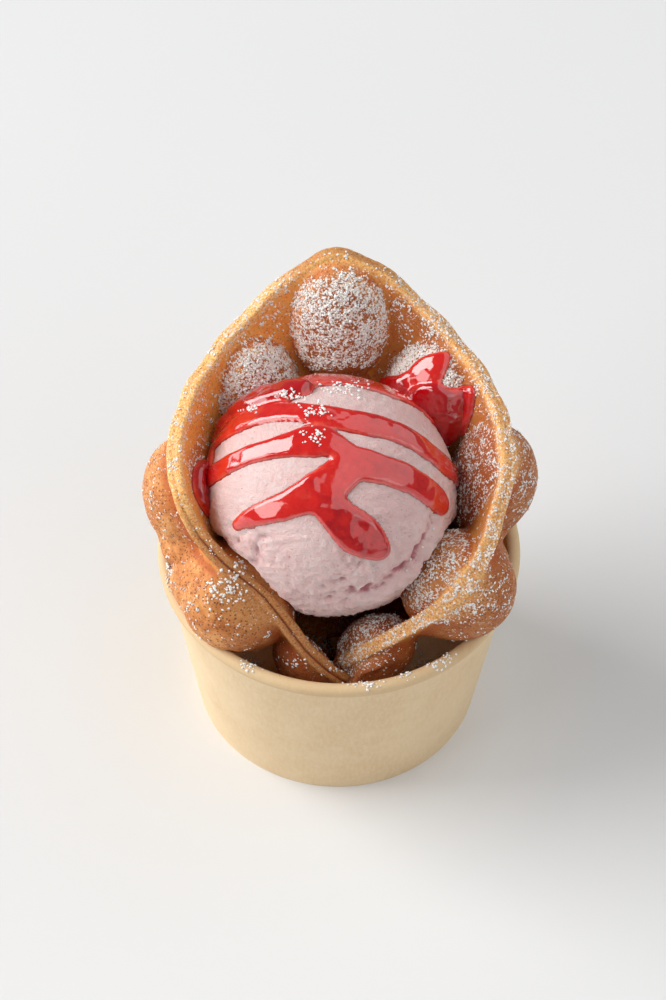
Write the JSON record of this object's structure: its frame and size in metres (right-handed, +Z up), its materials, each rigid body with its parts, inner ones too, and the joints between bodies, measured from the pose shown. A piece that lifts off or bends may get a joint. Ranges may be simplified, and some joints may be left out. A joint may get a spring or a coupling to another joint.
{
  "type": "bubble waffle cup",
  "caption": "Bubble waffle rolled into a cone round a scoop of strawberry ice cream with red sauce and icing sugar, standing in a plain paper cup.",
  "frame": {"origin": "on the table, under the middle of the whole outline; the cup's own axis is at X 0, Y -0.0028", "axes": "+Z up; +Y towards the tall back corner of the waffle; the open seam and the scoop's free front face -Y"},
  "size_m": [0.0995, 0.0999, 0.1207],
  "materials": {
    "brown_paper": "matte uncoated paperboard, fine pale fibres",
    "baked_waffle": "matte baked batter, golden edge and browner bubbles, dusted with icing sugar",
    "strawberry_ice_cream": "soft satin, dragged and slightly crumbly"
  },
  "bodies": {
    "root": {"paper_cup": "brown_paper", "waffle": "baked_waffle", "ice_cream": "strawberry_ice_cream"}
  },
  "joints": []
}
